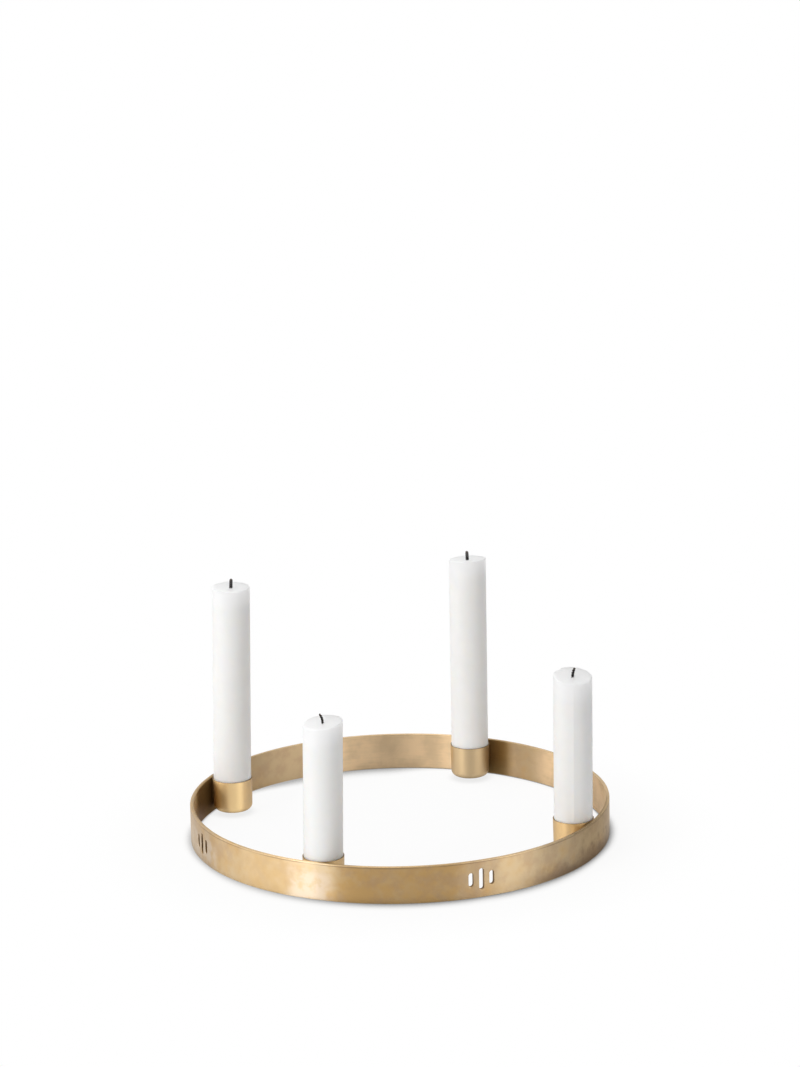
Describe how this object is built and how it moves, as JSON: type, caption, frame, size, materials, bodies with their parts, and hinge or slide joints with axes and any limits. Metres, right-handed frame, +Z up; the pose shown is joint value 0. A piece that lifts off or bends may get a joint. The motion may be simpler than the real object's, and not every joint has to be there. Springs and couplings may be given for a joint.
{
  "type": "advent candle holder",
  "caption": "Flat brass ring standing on its edge, pierced with upright slots, with drawn cups brazed inside it that hold burnt white candles; each candle lifts out of its cup.",
  "frame": {"origin": "centre of the ring, on the table that its lower edge stands on", "axes": "+Z up along the ring's axis, +X towards the right cup and +Y towards the back cup"},
  "size_m": [0.25, 0.25, 0.1473],
  "materials": {
    "band_brass": "satin, lightly brushed along the band, with a soft mottled patina",
    "cup_brass": "satin, with fine turning marks round the cup",
    "solder": "dull, darkened by the torch",
    "wax": "matte white wax, slightly translucent",
    "charred_wick": "charred cotton braid"
  },
  "bodies": {
    "holder": {"ring_band": "band_brass", "cup_right": "cup_brass", "cup_back": "cup_brass", "cup_left": "cup_brass", "cup_front": "cup_brass", "braze_right": "solder", "braze_back": "solder", "braze_left": "solder", "braze_front": "solder"},
    "right_candle": {"candle_right": "wax", "wick_right": "charred_wick"},
    "back_candle": {"candle_back": "wax", "wick_back": "charred_wick"},
    "left_candle": {"candle_left": "wax", "wick_left": "charred_wick"},
    "front_candle": {"candle_front": "wax", "wick_front": "charred_wick"}
  },
  "joints": [
    {"name": "right_candle_lift", "type": "slide", "parent": "holder", "child": "right_candle", "axis": [0, 0, 1], "range_m": [0, 0.03]},
    {"name": "back_candle_lift", "type": "slide", "parent": "holder", "child": "back_candle", "axis": [0, 0, 1], "range_m": [0, 0.03]},
    {"name": "left_candle_lift", "type": "slide", "parent": "holder", "child": "left_candle", "axis": [0, 0, 1], "range_m": [0, 0.03]},
    {"name": "front_candle_lift", "type": "slide", "parent": "holder", "child": "front_candle", "axis": [0, 0, 1], "range_m": [0, 0.03]}
  ]
}
